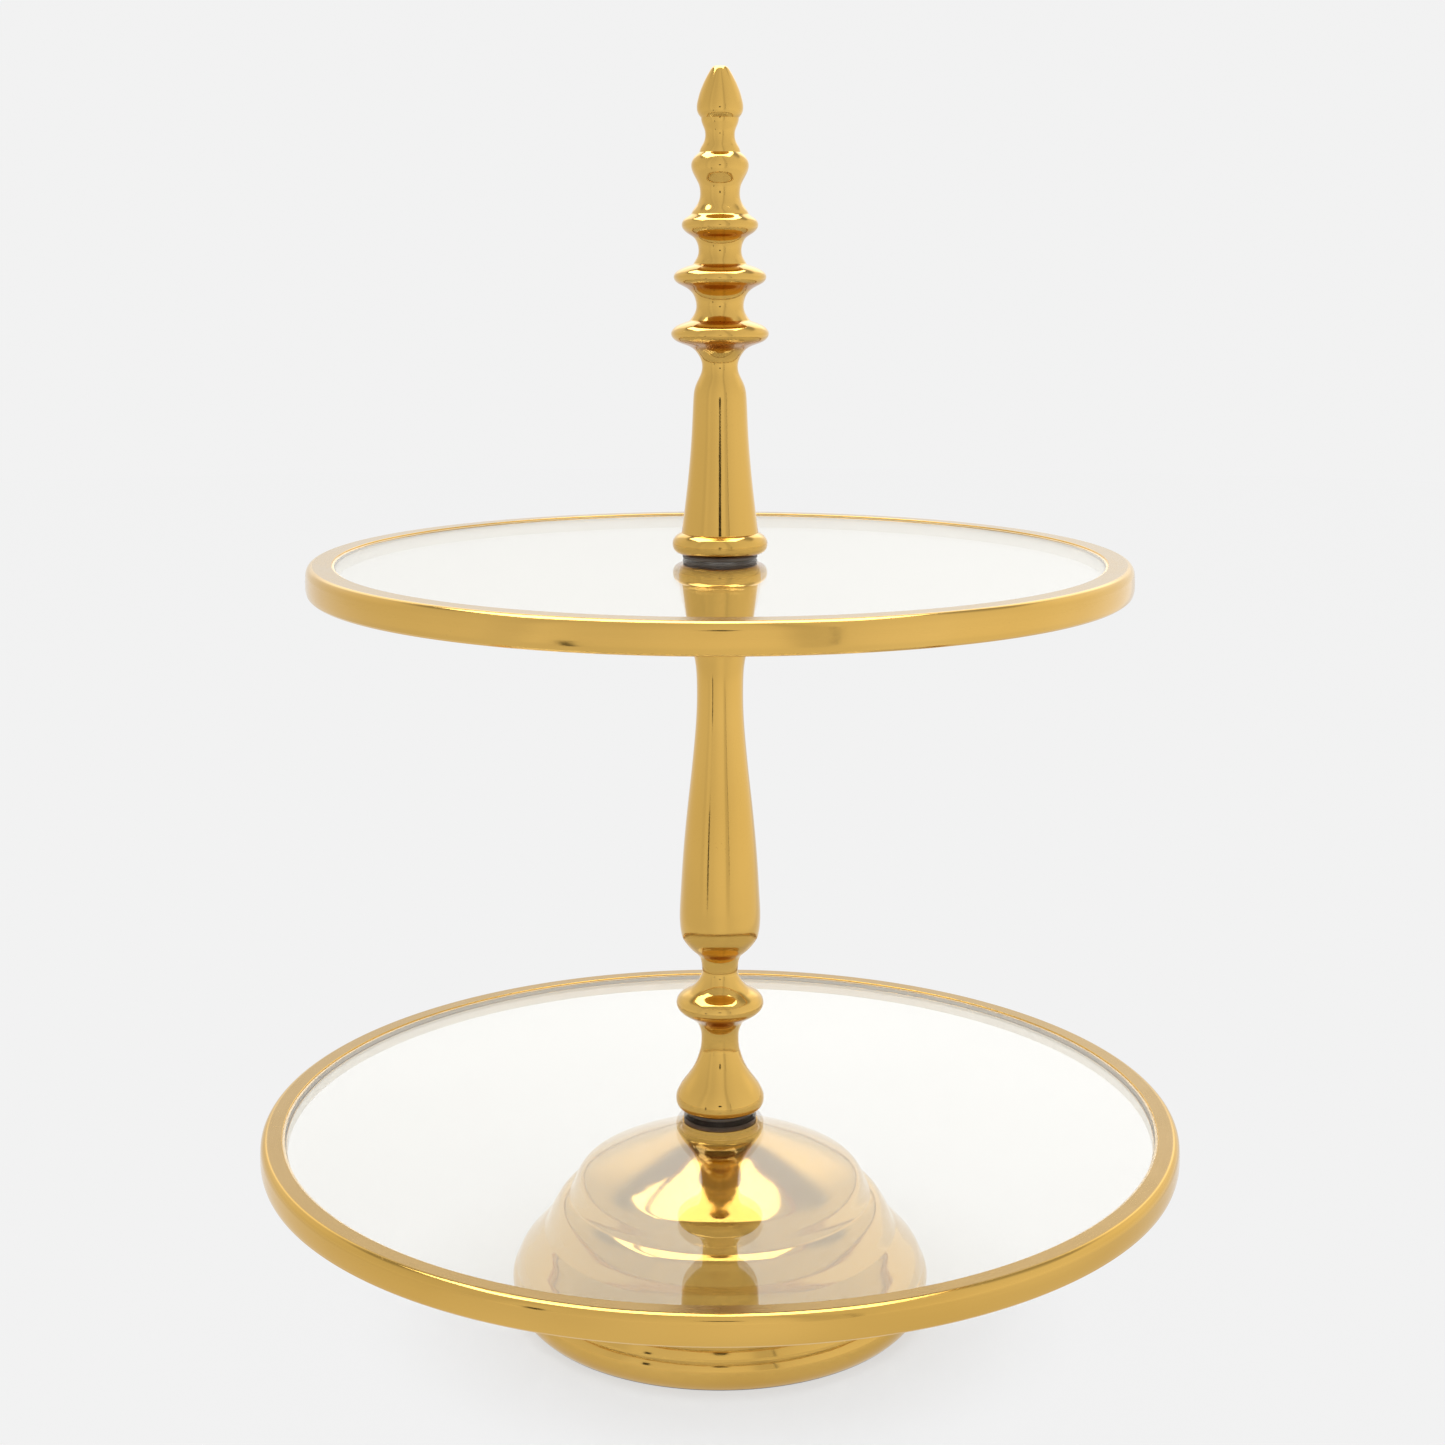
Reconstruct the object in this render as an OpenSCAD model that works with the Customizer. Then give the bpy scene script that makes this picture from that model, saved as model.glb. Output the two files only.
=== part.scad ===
// Two-tier cake stand: a stepped hollow foot, two glass trays in metal rims,
// a turned column between the trays and a turned lifting handle on top.
// Millimetres, +Z up, origin at the middle of the surface that it stands on.

/* [Trays] */
// Outside diameter of the lower tray
lower_tray_d = 300; // [280:2:330]
// Outside diameter of the upper tray
upper_tray_d = 258; // [230:2:270]
// Width of the lower rim, seen from above
lower_rim_w = 8.5; // [8:0.5:12]
// Width of the upper rim, seen from above
upper_rim_w = 9.5; // [8:0.5:12]
// Height of both rims
rim_h = 9.5; // [8:0.5:12]
// Thickness of both glass plates
glass_t = 5; // [4:0.5:6]
// How far the rims stand above the glass
rim_lip = 0.5; // [0.2:0.1:1]
// Diameter of the hole in the middle of each glass plate
glass_hole_d = 12; // [11:0.5:14]
// Width of the ledge that carries the glass
ledge_w = 1.4; // [1:0.1:2]

/* [Foot] */
// Height of the foot, up to the face that carries the lower tray
foot_h = 59.5; // [59.5:0.5:70]
// How far the rubber ring stands out under the foot
pad_proud = 0.4; // [0.2:0.1:0.8]
// Thickness of the rubber ring
pad_t = 1.2; // [1:0.1:1.6]

/* [Post] */
// Height of the column between the trays
column_h = 176.5; // [176.5:0.5:230]
// Diameter of the two clamping screws, which take an M8 thread
screw_d = 8; // [7:0.5:8]
// Depth of the screw in the column and in the handle
screw_depth = 12.5; // [10:0.5:13]
// Diameter of the studs inside the column and the handle
stud_d = 6; // [5:0.5:6]
// Diameter of the stud inside the bud
bud_stud_d = 4; // [3:0.5:4]
// Thickness of the rubber washers above the glass
washer_t = 1.5; // [1:0.1:2]
// Diameter of the rubber washers above the glass
washer_d = 23.6; // [20:0.2:24]
// Thickness of the gaskets below the glass
gasket_t = 1.5; // [1:0.1:2]
// Diameter of the gaskets below the glass
gasket_d = 24; // [20:0.5:24.5]

/* [Fits] */
// Radial clearance of a running fit
run = 0.06; // [0.03:0.01:0.1]
// Radial clearance where a screw passes through
pass = 0.3; // [0.2:0.05:0.5]

/* [Hidden] */
$fn = 128;

gold = [0.83, 0.67, 0.35];
steel = [0.72, 0.72, 0.72];
black = [0.16, 0.14, 0.12];
clear = [0.86, 0.92, 0.92, 0.35];

// Levels of the stack, from the table up
z_dome = foot_h;                      // face of the boss on the foot
z_g1 = z_dome + gasket_t;             // underside of the lower glass
z_g1t = z_g1 + glass_t;               // top of the lower glass
z_col = z_g1t + washer_t;             // underside of the column
z_colt = z_col + column_h;            // top of the column
z_g2 = z_colt + gasket_t;             // underside of the upper glass
z_g2t = z_g2 + glass_t;               // top of the upper glass
z_han = z_g2t + washer_t;             // underside of the handle
r_screw = screw_d / 2;
r_stud = stud_d / 2;
r_bud_stud = bud_stud_d / 2;
z_seam = 20.1;                        // foot to shaft, above z_col
boss_under = foot_h - 8.5;            // underside of the boss

// A smooth curve through points, n steps between each two
function cr(a, b, c, d, t) = 0.5 * (2 * b + (c - a) * t + (2 * a - 5 * b + 4 * c - d) * t * t
                                    + (3 * b - a - 3 * c + d) * t * t * t);
function at(p, i) = i < 0 ? 2 * p[0] - p[1]
                  : i >= len(p) ? 2 * p[len(p) - 1] - p[len(p) - 2] : p[i];
function smooth(p, n = 3) = concat(
    [for (i = [0 : len(p) - 2], k = [0 : n - 1]) cr(at(p, i - 1), p[i], p[i + 1], at(p, i + 2), k / n)],
    [p[len(p) - 1]]);
// An arc about c, from angle a to angle b
function arc(c, r, a, b, n = 6) = [for (k = [0 : n]) c + r * [cos(a + (b - a) * k / n), sin(a + (b - a) * k / n)]];

// Profiles are [radius, height] pairs, from the bottom up.
foot_flare = [[12.4, 0], [13.3, 0.3], [14.1, 1], [14.5, 2], [14.6, 3.2], [14.4, 4.6], [13.6, 6.4],
              [12.4, 8.4], [10.9, 10.3], [9.6, 12.2], [8.4, 14.3], [7.5, 16.5], [6.9, 18.4], [6.45, z_seam]];
shaft_low = [[6.45, z_seam], [6.2, 22], [6.12, 24], [6.2, 26], [6.8, 28], [7.8, 29.8], [9.1, 30.9],
             [10.7, 32], [12.2, 32.9], [13.4, 33.9], [14.2, 35.1], [14.35, 36.4], [13.9, 37.8],
             [12.9, 38.9], [11.2, 39.9], [9.5, 40.9], [8.3, 42], [7.2, 43.4], [6.35, 44.9], [5.85, 46.2],
             [5.8, 47.4], [5.95, 49.2], [6.3, 51], [7.1, 52.6], [8.5, 53.8], [9.9, 55.1], [11.2, 56.7],
             [12.1, 58.1], [12.5, 59.1]];
// The long baluster stretches with the column's height
k_col = (column_h - 59.1) / 117.4;
shaft_high = [for (p = [[12.55, 59.3], [13, 61.8], [13.2, 65], [13.1, 69], [12.85, 73], [12.3, 82.5],
              [11.45, 93], [10.45, 103], [9.3, 113], [8.3, 123], [7.55, 132.5], [7.4, 138], [7.42, 143],
              [7.65, 148], [8.2, 151.5], [9.3, 155.5], [10.6, 159.5], [11.8, 164], [12.6, 168],
              [13, 171.5], [13, 174], [12.4, 175.8], [11.8, 176.5]]) [p[0], 59.1 + (p[1] - 59.1) * k_col]];
grip_bead = [[12.3, 0], [13.6, 0.4], [14.6, 1.3], [15, 2.6], [14.9, 4], [14.2, 5.3], [13, 6.2], [12.1, 6.6]];
grip_cone = [[12.05, 6.7], [11.5, 11], [10.85, 16.4], [10.25, 21.4], [9.55, 28.4], [9, 35], [8.65, 41.5],
             [8.4, 47.5], [8.2, 50.2], [7.7, 52.3], [6.75, 54.4], [5.85, 56.2], [5.5, 58.2], [5.85, 60.3],
             [6.8, 62], [7.9, 63.4], [9.6, 64.5], [12.4, 65.4], [14.2, 66.4], [15.05, 67.5], [15.2, 68.5],
             [14.75, 69.5], [13.8, 70.5], [12, 71.4], [9.6, 72.2]];
grip_mid = [[9.3, 72.4], [8.6, 73.3], [7.9, 74.4], [7.4, 75.7], [7.3, 77], [7.6, 78.7], [8.3, 80.3],
            [9.3, 81.4], [10.9, 82.5], [12.9, 83.4], [14, 84.4], [14.35, 85.4], [14.1, 86.4],
            [13.1, 87.4], [11.2, 88.4], [8.6, 89.2]];
grip_top = [[8.2, 89.5], [7.75, 90.3], [7.05, 91.4], [6.65, 92.6], [6.6, 93.8], [6.9, 95.4], [7.4, 96.5],
            [8.2, 97.5], [9.8, 98.4], [11, 99.4], [11.65, 100.3], [11.8, 101.3], [11.45, 102.4],
            [10.4, 103.3], [9.2, 104.1], [8.9, 104.4]];
stem_low = [[8.8, 104.5], [8.4, 105.4], [7.6, 106.4], [6.9, 107.4], [6.4, 108.5], [6.1, 109.8],
            [6.1, 111.2], [6.4, 113], [7.1, 114.4], [7.9, 115.8], [8.6, 117.3], [8.85, 118.7],
            [8.75, 119.7], [8.3, 120.7], [7.6, 121.6], [6.8, 122.3], [6.3, 122.7]];
stem_high = [[6.2, 123.2], [5.8, 124.3], [5.1, 125.4], [4.65, 126.5], [4.47, 127.9], [4.7, 129.4],
             [5.15, 130.4], [5.55, 131.4], [5.75, 132.4], [5.78, 132.9]];
bud = [[5.9, 133], [6.4, 133.6], [6.9, 134.5], [7.1, 135.7], [7.05, 136.9], [6.75, 138.3], [6.2, 140.3],
       [5.35, 142.4], [4.4, 144.4], [3.3, 146.3], [2.5, 147.5], [2, 147.9], [1.4, 148]];
// The foot's tiers, from the boss down, measured from the boss's face down to the bottom
tier_top = [[12.5, 59.5], [12.5, 57.6], [12.6, 56.6], [13.1, 55.8], [14.2, 55.2]];
tier_1 = [[14.2, 55.2], [18, 54.1], [22, 52.7], [27, 50.9], [32.1, 49], [36.8, 47], [41.1, 45], [43.6, 43.7], [45.5, 42.5], [46.9, 41], [47.9, 39.3], [48.6, 37.5], [49.3, 35.9], [50, 34.8]];
tier_2 = [[50.6, 34.3], [51.8, 33.4], [53.2, 31.9], [54.6, 30], [55.9, 28.3], [56.9, 26.9], [57.6, 25.3], [58.1, 23.9], [58.7, 22.8]];
tier_3 = [[59.3, 22.2], [60.6, 20.9], [62.4, 18.9], [64.3, 16.9], [66, 15], [67.2, 13.1], [68, 11.2]];
tier_foot = [[68.1, 10.4], [69.1, 8.8], [69.6, 6.4], [69.4, 3.6], [68.7, 1.5], [67.7, 0.4]];
dome_in = [[66.6, 2.6], [66.9, 9], [65.5, 12.4], [62.8, 16], [60.9, 18.1], [59, 19.8], [57, 20.8], [56.2, 23.6], [55, 26.2], [53.2, 28.7], [51.5, 31], [49.9, 32.4], [48.1, 33.3], [47.2, 36], [46.2, 38.5], [44.6, 40.5], [42.4, 42.1], [38.4, 44.1], [33.6, 46.2], [28.5, 48.1], [23, 49.8], [17, 50.9]];
dz_foot = foot_h - 59.5;
function lift(p) = [for (q = p) [q[0], q[1] > 3 ? q[1] + dz_foot * (q[1] - 3) / 56.5 : q[1]]];

// A turned piece: a solid of revolution from a profile, closed on the axis
module turned(p) {
    rotate_extrude() polygon(concat([[0, p[0][1]]], p, [[0, p[len(p) - 1][1]]]));
}
// A round bore from z, h long
module bore(r, z, h) {
    translate([0, 0, z]) cylinder(r = r, h = h);
}
// A flat ring
module ring(r_out, r_in, z, h) {
    translate([0, 0, z]) difference() {
        cylinder(r = r_out, h = h);
        translate([0, 0, -1]) cylinder(r = r_in, h = h + 2);
    }
}

// Hollow stepped foot with a boss for the screw, and a groove for the rubber ring
module base_dome() {
    color(gold) difference() {
        rotate_extrude() polygon(concat(
            [[0, z_dome]], lift(smooth(tier_top)), lift(smooth(tier_1, 2)), lift(smooth(tier_2)), lift(smooth(tier_3)),
            smooth(tier_foot), [[57.5, pad_proud], [57.5, 2.6]], lift(smooth(dome_in, 2)),
            [[14, boss_under], [0, boss_under]]));
        bore(r_screw + pass, boss_under - 1, 11);
        ring(66.3, 59.7, pad_proud - 1, 1 + pad_t - pad_proud);
    }
}
// Rubber ring that the foot stands on
module foot_pad_ring() {
    color(black) ring(66.2, 59.8, 0, pad_t);
}
// Hexagon-head screw, up through the foot and the lower tray into the column
module base_bolt() {
    color(steel) {
        bore(r_screw, boss_under - 3.6, z_col + screw_depth - boss_under + 3.6);
        difference() {
            translate([0, 0, boss_under - 8.9]) cylinder(r = 7.5, h = 5.3, $fn = 6);
            ring(9, 6.3, boss_under - 9.9, 1.4);
        }
    }
}
// Plain steel washer under the boss
module base_flat_washer() {
    color(steel) ring(11, r_screw + pass, boss_under - 1.6, 1.6);
}
// Split spring washer between the plain washer and the screw's head
module base_lock_washer() {
    color(steel) difference() {
        ring(7, r_screw + 0.15, boss_under - 3.6, 2);
        translate([5.5, 0, boss_under - 2.6]) rotate([20, 0, 0]) cube([6, 0.9, 4], center = true);
    }
}
module lower_gasket() {
    color(black) ring(gasket_d / 2, r_screw + pass, z_dome, gasket_t);
}
// Glass plate with a ground, rounded edge
module plate(r, z) {
    c = 0.5;
    translate([0, 0, z]) rotate_extrude() polygon(
        [[glass_hole_d / 2, 0.3], [glass_hole_d / 2 + 0.3, 0], [r - c, 0], [r, c], [r, glass_t - c], [r - c, glass_t],
         [glass_hole_d / 2 + 0.3, glass_t], [glass_hole_d / 2, glass_t - 0.3]]);
}
// Rim: bowed outside, crisp upper edge, ledge below the glass
module rim(d, w, zt) {
    r = d / 2;
    wall = w - ledge_w;
    translate([0, 0, zt]) rotate_extrude() polygon(concat(
        [[r - wall + 0.3, 0], [r - 1.2, 0]],
        smooth([[r - 1.1, -0.1], [r - 0.5, -0.8], [r - 0.1, -2], [r, -3.4], [r, 1.8 - rim_h], [r - 0.3, 0.8 - rim_h]]),
        [[r - 0.9, 0.2 - rim_h], [r - 1.5, -rim_h], [r - w + 0.4, -rim_h], [r - w, 0.4 - rim_h],
         [r - w, -rim_lip - glass_t - 0.2], [r - w + 0.2, -rim_lip - glass_t],
         [r - wall, -rim_lip - glass_t], [r - wall, -0.3]]));
}
module lower_glass() { color(clear) plate(lower_tray_d / 2 - lower_rim_w + ledge_w - 0.6, z_g1); }
module lower_rim() { color(gold) rim(lower_tray_d, lower_rim_w, z_g1t + rim_lip); }
module upper_glass() { color(clear) plate(upper_tray_d / 2 - upper_rim_w + ledge_w - 0.6, z_g2); }
module upper_rim() { color(gold) rim(upper_tray_d, upper_rim_w, z_g2t + rim_lip); }
// Sealant between the edge of the glass and the rim
module seal(d, w, z) {
    r = d / 2 - w + ledge_w;
    color([0.75, 0.73, 0.68]) ring(r, r - 0.6, z, glass_t - 1);
}
module lower_rim_seal() { seal(lower_tray_d, lower_rim_w, z_g1); }
module upper_rim_seal() { seal(upper_tray_d, upper_rim_w, z_g2); }
// Nylon bush that keeps the glass off the screw
module lower_hole_bush() { color([0.9, 0.9, 0.88]) ring(glass_hole_d / 2 - 0.02, r_screw + run, z_g1 + 0.1, glass_t - 0.2); }
module upper_hole_bush() { color([0.9, 0.9, 0.88]) ring(glass_hole_d / 2 - 0.02, r_screw + run, z_g2 + 0.1, glass_t - 0.2); }
// Rubber washers on the glass, with a rounded edge
module top_washer(z) {
    r = washer_d / 2;
    color(black) translate([0, 0, z]) rotate_extrude() polygon(concat([[r_screw + pass, 0]],
        arc([r - washer_t / 2, washer_t / 2], washer_t / 2, -90, 90), [[r_screw + pass, washer_t]]));
}
module lower_washer() { top_washer(z_g1t); }
module upper_washer() { top_washer(z_g2t); }
// Lower, separate piece of the column, with the threaded hole for the screw
module column_foot() {
    color(gold) translate([0, 0, z_col]) difference() {
        turned(smooth(foot_flare));
        bore(r_screw + run, -1, screw_depth + 1.5);
        bore(r_stud + 0.02, screw_depth + 2, z_seam);
    }
}
// Bead, neck and long baluster up to the upper tray
module column_shaft() {
    color(gold) translate([0, 0, z_col]) difference() {
        turned(concat(smooth(shaft_low), smooth(shaft_high)));
        bore(r_stud + 0.02, z_seam - 1, 12);
        bore(r_screw + 0.02, column_h - 14, 15);
    }
}
// Stud that joins the column's two pieces
module column_stud() {
    color(steel) bore(r_stud, z_col + screw_depth + 2.2, z_seam - screw_depth + 8.4);
}
// Stud fixed in the column's top, through the upper tray into the handle
module tie_stud() {
    color(steel) bore(r_screw, z_colt - 13.8, z_han + screw_depth - z_colt + 13.8);
}
module upper_gasket() {
    color(black) ring(gasket_d / 2 - 0.4, r_screw + 0.1, z_colt, gasket_t);
}
module handle_grip() {
    color(gold) translate([0, 0, z_han]) difference() {
        turned(concat(smooth(grip_bead), smooth(grip_cone), smooth(grip_mid), smooth(grip_top)));
        bore(r_screw + run, -1, screw_depth + 2.5);
        bore(r_stud + 0.02, 92.4, 13);
    }
}
module finial_stem() {
    color(gold) translate([0, 0, z_han]) difference() {
        turned(concat([[8.8, 104.4]], smooth(stem_low), smooth(stem_high)));
        bore(r_stud + 0.02, 103.4, 11);
        bore(r_bud_stud + 0.02, 125, 9);
    }
}
module finial_bud() {
    color(gold) translate([0, 0, z_han]) difference() {
        turned(concat([[5.8, 132.9]], smooth(bud)));
        bore(r_bud_stud + 0.02, 132, 7);
    }
}
module finial_stud() { color(steel) bore(r_stud, z_han + 92.6, 21.6); }
module bud_stud() { color(steel) bore(r_bud_stud, z_han + 125.2, 13.6); }

base_dome();
foot_pad_ring();
base_bolt();
base_flat_washer();
base_lock_washer();
lower_gasket();
lower_glass();
lower_rim();
lower_rim_seal();
lower_hole_bush();
lower_washer();
column_foot();
column_shaft();
column_stud();
tie_stud();
upper_gasket();
upper_glass();
upper_rim();
upper_rim_seal();
upper_hole_bush();
upper_washer();
handle_grip();
finial_stem();
finial_bud();
finial_stud();
bud_stud();
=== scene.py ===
import math

import bpy
import numpy as np
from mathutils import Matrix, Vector


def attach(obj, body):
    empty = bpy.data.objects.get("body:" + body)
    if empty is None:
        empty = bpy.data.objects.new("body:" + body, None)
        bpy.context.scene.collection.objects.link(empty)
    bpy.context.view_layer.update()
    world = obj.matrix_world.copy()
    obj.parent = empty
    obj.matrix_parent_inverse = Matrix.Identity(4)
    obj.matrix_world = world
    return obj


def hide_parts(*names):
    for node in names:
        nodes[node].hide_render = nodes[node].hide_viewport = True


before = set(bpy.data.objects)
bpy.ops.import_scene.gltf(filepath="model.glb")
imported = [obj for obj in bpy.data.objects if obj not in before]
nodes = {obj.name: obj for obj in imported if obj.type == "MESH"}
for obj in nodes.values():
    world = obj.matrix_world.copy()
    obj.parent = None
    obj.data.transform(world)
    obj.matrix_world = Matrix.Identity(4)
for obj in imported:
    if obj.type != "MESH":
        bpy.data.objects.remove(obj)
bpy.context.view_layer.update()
scene = bpy.context.scene
MM = 0.001

# ---------------------------------------------------------------- camera
cam_data = bpy.data.cameras.new("camera")
cam = bpy.data.objects.new("camera", cam_data)
scene.collection.objects.link(cam)
cam_data.sensor_width = 36.0
cam_data.lens = 2244.5 * 36.0 / 1445.0
cam_data.shift_x = 2.5 / 1445.0
cam_data.clip_start = 0.01
cam_data.clip_end = 50.0
cam.location = (0.0, -0.7041, 0.3442)
cam.rotation_euler = (math.radians(90.0 - 11.775), 0.0, 0.0)
scene.camera = cam

scene.view_settings.view_transform = "Standard"
scene.view_settings.look = "None"
scene.cycles.max_bounces = 24
scene.cycles.glossy_bounces = 12
scene.cycles.transmission_bounces = 16
scene.cycles.diffuse_bounces = 4
scene.cycles.transparent_max_bounces = 16
scene.cycles.blur_glossy = 0.3


# ---------------------------------------------------------------- node helper
class Graph:
    def __init__(self, tree):
        self.t = tree
        tree.nodes.clear()

    def new(self, kind, **props):
        n = self.t.nodes.new(kind)
        for k, v in props.items():
            setattr(n, k, v)
        return n

    def put(self, socket, value):
        if value is None:
            return
        if isinstance(value, bpy.types.NodeSocket):
            self.t.links.new(value, socket)
        else:
            socket.default_value = value

    def math(self, op, a, b=None, c=None, clamp=False):
        n = self.new("ShaderNodeMath", operation=op, use_clamp=clamp)
        for i, v in enumerate((a, b, c)):
            self.put(n.inputs[i], v)
        return n.outputs[0]

    def vmath(self, op, a, b=None, scale=None):
        n = self.new("ShaderNodeVectorMath", operation=op)
        self.put(n.inputs[0], a)
        if b is not None:
            self.put(n.inputs[1], b)
        if scale is not None:
            self.put(n.inputs["Scale"], scale)
        return n.outputs["Value"] if op in ("DOT_PRODUCT", "LENGTH") else n.outputs[0]

    def split(self, v):
        n = self.new("ShaderNodeSeparateXYZ")
        self.put(n.inputs[0], v)
        return n.outputs[0], n.outputs[1], n.outputs[2]

    def join(self, x, y, z):
        n = self.new("ShaderNodeCombineXYZ")
        for i, v in enumerate((x, y, z)):
            self.put(n.inputs[i], v)
        return n.outputs[0]

    def noise(self, vec, scale, detail=2.0, rough=0.5, dist=0.0):
        n = self.new("ShaderNodeTexNoise")
        self.put(n.inputs["Vector"], vec)
        n.inputs["Scale"].default_value = scale
        n.inputs["Detail"].default_value = detail
        n.inputs["Roughness"].default_value = rough
        n.inputs["Distortion"].default_value = dist
        return n.outputs[0]

    def voronoi(self, vec, scale):
        n = self.new("ShaderNodeTexVoronoi")
        self.put(n.inputs["Vector"], vec)
        n.inputs["Scale"].default_value = scale
        return n.outputs["Distance"]

    def ramp(self, x, a, b, lo=0.0, hi=1.0):
        n = self.new("ShaderNodeMapRange", interpolation_type="SMOOTHSTEP")
        self.put(n.inputs[0], x)
        for i, v in enumerate((a, b, lo, hi)):
            self.put(n.inputs[1 + i], v)
        return n.outputs[0]

    def line(self, x, a, b, lo, hi):
        n = self.new("ShaderNodeMapRange")
        self.put(n.inputs[0], x)
        for i, v in enumerate((a, b, lo, hi)):
            self.put(n.inputs[1 + i], v)
        return n.outputs[0]

    def mix(self, f, a, b):
        n = self.new("ShaderNodeMix", data_type="RGBA")
        self.put(n.inputs[0], f)
        self.put(n.inputs[6], a)
        self.put(n.inputs[7], b)
        return n.outputs[2]

    def bump(self, height, strength, distance, normal=None):
        n = self.new("ShaderNodeBump")
        n.inputs["Strength"].default_value = strength
        n.inputs["Distance"].default_value = distance
        self.put(n.inputs["Height"], height)
        if normal is not None:
            self.put(n.inputs["Normal"], normal)
        return n.outputs[0]

    def surface(self, **values):
        out = self.new("ShaderNodeOutputMaterial")
        p = self.new("ShaderNodeBsdfPrincipled")
        for k, v in values.items():
            self.put(p.inputs[k.replace("_", " ")], v)
        self.t.links.new(p.outputs[0], out.inputs[0])
        return p


def material(name):
    m = bpy.data.materials.new(name)
    m.use_nodes = True
    return m, Graph(m.node_tree)


def rgb(r, g, b):
    """sRGB 0-255 to linear"""
    f = lambda c: c / 12.92 if c <= 0.04045 else ((c + 0.055) / 1.055) ** 2.4
    return (f(r / 255.0), f(g / 255.0), f(b / 255.0), 1.0)


# ---------------------------------------------------------------- materials
def gold(name, rough=0.085, streak=0.5, wave=1.0, tint=(0.69, 0.43, 0.108), under=0.0, top=None, inside=None):
    """Polished gold-coloured metal: faint rings from turning, cloudy polish, a few fine pits.
    under: how much painted shade deepens the colour where the surface faces down.
    top: a painted reflection colour for level top faces, standing for the tone their reflection takes; those faces are
    also rougher, as brushed. inside: radius of an unpolished pale inner face."""
    m, g = material(name)
    co = g.new("ShaderNodeTexCoord").outputs["Object"]
    x, y, z = g.split(co)
    r = g.vmath("LENGTH", g.join(x, y, 0.0))
    ang = g.math("ARCTAN2", y, x)
    run = g.math("ADD", z, g.math("MULTIPLY", r, 0.62))
    rings = g.noise(g.join(g.math("MULTIPLY", g.math("COSINE", ang), 0.004),
                           g.math("MULTIPLY", g.math("SINE", ang), 0.004), run), 2600.0, 3.0, 0.6)
    cloud = g.noise(co, 55.0, 3.0, 0.55, 0.3)
    broad = g.noise(co, 14.0, 2.0, 0.5)
    pits = g.ramp(g.voronoi(co, 520.0), 0.035, 0.075, 1.0, 0.0)
    keep = g.ramp(g.noise(co, 120.0, 1.0), 0.56, 0.62)
    pits = g.math("MULTIPLY", pits, keep)
    light = (min(tint[0] * 1.03, 1.0), tint[1] * 1.03, tint[2] * 1.06, 1.0)
    deep = (tint[0] * 0.955, tint[1] * 0.935, tint[2] * 0.88, 1.0)
    col = g.mix(g.line(broad, 0.35, 0.65, 0.0, 1.0), light, deep)
    col = g.mix(g.math("MULTIPLY", pits, 0.5), col, (0.33, 0.18, 0.045, 1.0))
    rg = g.math("ADD", rough * 0.62, g.math("MULTIPLY", g.line(cloud, 0.3, 0.7, 0.0, 1.0), rough * 0.5))
    rg = g.math("ADD", rg, g.math("MULTIPLY", g.line(rings, 0.35, 0.65, 0.0, 1.0), rough * 0.35 * streak))
    rg = g.math("ADD", rg, g.math("MULTIPLY", pits, 0.25))
    h = g.math("MULTIPLY", rings, 0.000012 * streak)
    h = g.math("ADD", h, g.math("MULTIPLY", g.noise(co, 90.0, 1.0), 0.00004 * wave))
    h = g.math("SUBTRACT", h, g.math("MULTIPLY", pits, 0.00003))
    nb = g.bump(h, 1.0, 1.0)
    metal = 1.0
    nx, ny, nz = g.split(g.new("ShaderNodeNewGeometry").outputs["Normal"])
    # painted shade: surfaces facing down get a deeper, browner gold in place of the dark reflections they would show
    if under:
        f = g.math("MULTIPLY", g.ramp(nz, -0.62, -0.93, 0.0, 1.0), under)
        col = g.mix(f, col, (tint[0] * 0.60, tint[1] * 0.40, tint[2] * 0.22, 1.0))
    # painted reflection: level top faces take a set colour for the tone of what they reflect, and extra roughness for
    # brushing
    if top:
        f = g.ramp(nz, 0.965, 0.998, 0.0, 1.0)
        col = g.mix(f, col, (*top, 1.0))
        rg = g.math("ADD", rg, g.math("MULTIPLY", f, 0.14))
    if inside:
        f = g.math("MULTIPLY", g.ramp(r, inside + 0.0002, inside + 0.0005, 1.0, 0.0), g.ramp(nz, 0.2, 0.5, 1.0, 0.0))
        col = g.mix(f, col, (0.90, 0.85, 0.74, 1.0))
        metal = g.math("SUBTRACT", 1.0, g.math("MULTIPLY", f, 0.6))
        rg = g.math("ADD", rg, g.math("MULTIPLY", f, 0.3))
    g.surface(Base_Color=col, Metallic=metal, Roughness=rg, Normal=nb)
    return m


def steel(name):
    m, g = material(name)
    co = g.new("ShaderNodeTexCoord").outputs["Object"]
    cloud = g.noise(co, 260.0, 4.0, 0.6)
    fine = g.noise(co, 2200.0, 2.0)
    col = g.mix(g.line(cloud, 0.3, 0.7, 0.0, 1.0), (0.62, 0.63, 0.65, 1.0), (0.50, 0.51, 0.53, 1.0))
    rg = g.line(cloud, 0.3, 0.7, 0.24, 0.38)
    g.surface(Base_Color=col, Metallic=1.0, Roughness=rg,
              Normal=g.bump(g.math("MULTIPLY", fine, 0.00001), 1.0, 1.0))
    return m


def rubber(name, a=(0.088, 0.066, 0.048, 1.0), b=(0.145, 0.116, 0.090, 1.0), rough=0.34):
    m, g = material(name)
    co = g.new("ShaderNodeTexCoord").outputs["Object"]
    cloud = g.noise(co, 190.0, 4.0, 0.65)
    grain = g.noise(co, 3200.0, 2.0, 0.7)
    col = g.mix(g.line(cloud, 0.3, 0.7, 0.0, 1.0), a, b)
    rg = g.math("ADD", rough, g.math("MULTIPLY", grain, 0.16))
    g.surface(Base_Color=col, Roughness=rg, Normal=g.bump(g.math("MULTIPLY", grain, 0.00002), 1.0, 1.0))
    return m


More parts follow.
